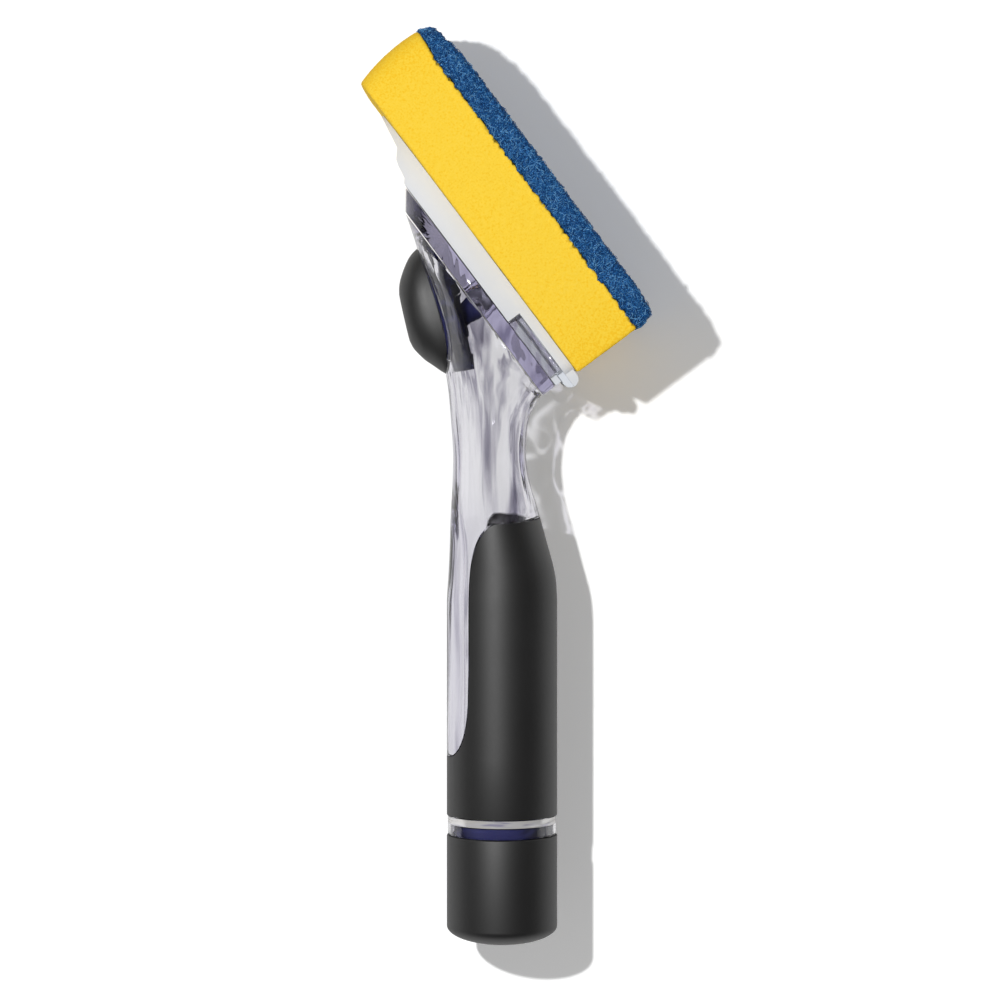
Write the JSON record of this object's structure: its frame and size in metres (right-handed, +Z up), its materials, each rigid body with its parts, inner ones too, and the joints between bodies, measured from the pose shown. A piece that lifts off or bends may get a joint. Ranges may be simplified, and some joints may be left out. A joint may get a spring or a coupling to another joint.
{
  "type": "dish brush",
  "caption": "Dish scrubber with a hollow clear soap handle, a soft thumb button over a pump, a screw cap and a slide-off sponge head with a scouring pad.",
  "frame": {"origin": "under the middle of the object's bounding box, on the surface that one side of the sponge lies on", "axes": "+Y runs along the handle from the cap to the head, +Z is up, square to the plane of symmetry, and +X points to the side that the scouring face looks to"},
  "size_m": [0.0839, 0.2649, 0.0655],
  "materials": {
    "clear_plastic": "gloss",
    "black_soft": "matte",
    "navy_plastic": "satin",
    "navy_gasket": "satin",
    "silicone": "satin",
    "spring_steel": "polished",
    "milky_plastic": "satin",
    "yellow_foam": "matte",
    "blue_fibre": "matte"
  },
  "bodies": {
    "handle": {"handle_shell": "clear_plastic", "head_plate": "clear_plastic", "grip_sleeve": "black_soft", "pump_cup": "navy_plastic", "inlet_valve": "silicone", "outlet_valve": "silicone", "valve_retainer": "navy_plastic", "outlet_seal": "silicone"},
    "button": {"button_cover": "black_soft", "button_core": "navy_plastic", "pump_piston": "navy_plastic", "piston_seal": "silicone", "return_spring": "spring_steel"},
    "cap_seal": {"cap_gasket": "navy_gasket"},
    "cap": {"cap_core": "navy_plastic", "cap_cover": "black_soft"},
    "refill": {"refill_plate": "milky_plastic", "sponge": "yellow_foam", "scouring_pad": "blue_fibre"}
  },
  "joints": [
    {"name": "button_press", "type": "slide", "parent": "handle", "child": "button", "axis": [0.9748, 0.2229, 0], "range_m": [0, 0.0035], "stiffness_N_per_m": 1000, "deforming": ["button_cover", "return_spring"]},
    {"name": "cap_lift", "type": "slide", "parent": "handle", "child": "cap_seal", "axis": [0, -1, 0], "range_m": [0, 0.0065]},
    {"name": "cap_turn", "type": "hinge", "parent": "cap_seal", "child": "cap", "pos_m": [-0.00135, -0.1, 0.0325], "axis": [0, -1, 0], "range_deg": [0, 576]},
    {"name": "refill_slide", "type": "slide", "parent": "handle", "child": "refill", "axis": [-0.6, 0.8, 0], "range_m": [0, 0.025]}
  ],
  "couplings": [
    {"joint": "cap_lift", "follows": "cap_turn", "m_per_rad": 0.00063662}
  ]
}
